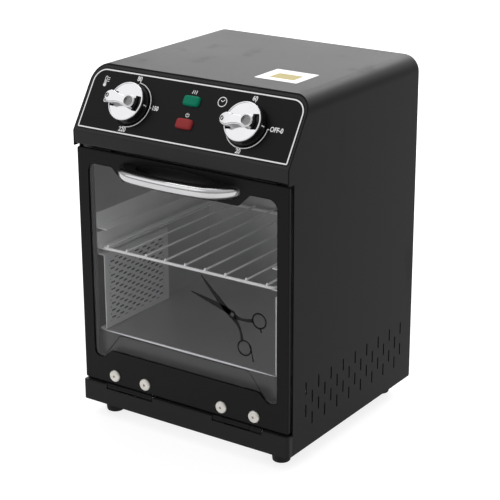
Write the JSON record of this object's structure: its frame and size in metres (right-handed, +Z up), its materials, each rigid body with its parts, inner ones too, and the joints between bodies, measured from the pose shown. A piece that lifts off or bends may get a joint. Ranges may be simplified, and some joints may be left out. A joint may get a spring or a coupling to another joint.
{
  "type": "dry heat sterilizer",
  "caption": "Black bench-top dry heat sterilizer cabinet with a drop-down glass door, sloped control panel, temperature and timer dials, lamps, wire rack and louvred sides.",
  "frame": {"origin": "on the bench, under the middle of the overall box", "axes": "+X to the right of someone facing the door, +Y to the back, +Z up"},
  "size_m": [0.24, 0.2615, 0.3458],
  "materials": {
    "black_steel": "satin powder coat, fine texture",
    "panel_print": "screen-printed overlay film, satin",
    "stainless": "rolled stainless sheet, fine lengthwise grain",
    "chrome": "bright plated",
    "black_plastic": "moulded phenolic, satin",
    "glass": "clear toughened",
    "zinc_screws": "zinc plated",
    "rack_wire": "bright drawn wire",
    "rubber": "moulded, matte",
    "silicone": "extruded silicone, matte",
    "green_lens": "translucent, moulded",
    "red_lens": "translucent, moulded",
    "galvanised": "galvanised sheet, dull spangle",
    "heater_steel": "heat-tinted sheath",
    "mineral_wool": "fibre board",
    "cream_plastic": "moulded, matte",
    "magnet_black": "pressed ferrite block"
  },
  "bodies": {
    "cabinet": {"case_shell": "black_steel", "back_panel": "black_steel", "back_screws": "zinc_screws", "cord_gland": "black_plastic", "base_pan": "galvanised", "feet": "rubber", "foot_screws": "zinc_screws", "base_strip": "black_steel", "left_hinge_bracket": "black_steel", "right_hinge_bracket": "black_steel", "left_hinge_pin": "zinc_screws", "right_hinge_pin": "zinc_screws", "control_fascia": "black_steel", "panel_overlay": "panel_print", "power_lamp_lens": "red_lens", "run_lamp_lens": "green_lens", "lamp_bodies": "black_plastic", "thermostat": "galvanised", "timer": "galvanised", "front_frame": "stainless", "chamber_liner": "stainless", "door_seal": "silicone", "insulation": "mineral_wool", "heat_shield": "galvanised", "left_heater_guard": "stainless", "right_heater_guard": "stainless", "left_heater": "heater_steel", "right_heater": "heater_steel", "left_rack_runners": "stainless", "right_rack_runners": "stainless", "door_magnets": "magnet_black", "terminal_block": "cream_plastic", "thermal_cutout": "cream_plastic"},
    "door": {"door_frame": "black_steel", "door_glass": "glass", "glass_clips": "zinc_screws", "handle_body": "black_plastic", "handle_cover": "chrome", "handle_screws": "zinc_screws", "hinge_screws": "zinc_screws", "left_hinge_leaf": "black_steel", "right_hinge_leaf": "black_steel"},
    "temperature_dial": {"temperature_knob": "black_plastic", "temperature_knob_cap": "chrome", "thermostat_spindle": "zinc_screws"},
    "timer_dial": {"timer_knob": "black_plastic", "timer_knob_cap": "chrome", "timer_spindle": "zinc_screws"},
    "rack": {"wire_rack": "rack_wire"}
  },
  "joints": [
    {"name": "door_hinge", "type": "hinge", "parent": "cabinet", "child": "door", "pos_m": [0, -0.10445, 0.0344], "axis": [1, 0, 0], "range_deg": [0, 90]},
    {"name": "temperature_turn", "type": "hinge", "parent": "cabinet", "child": "temperature_dial", "pos_m": [-0.0645, -0.08918, 0.31585], "axis": [0, -0.8389, 0.5443], "range_deg": [-90, 180]},
    {"name": "timer_turn", "type": "hinge", "parent": "cabinet", "child": "timer_dial", "pos_m": [0.0645, -0.08918, 0.31585], "axis": [0, -0.8389, 0.5443], "range_deg": [-270, 0]},
    {"name": "rack_slide", "type": "slide", "parent": "cabinet", "child": "rack", "axis": [0, -1, 0], "range_m": [-0.003, 0.0015]}
  ]
}
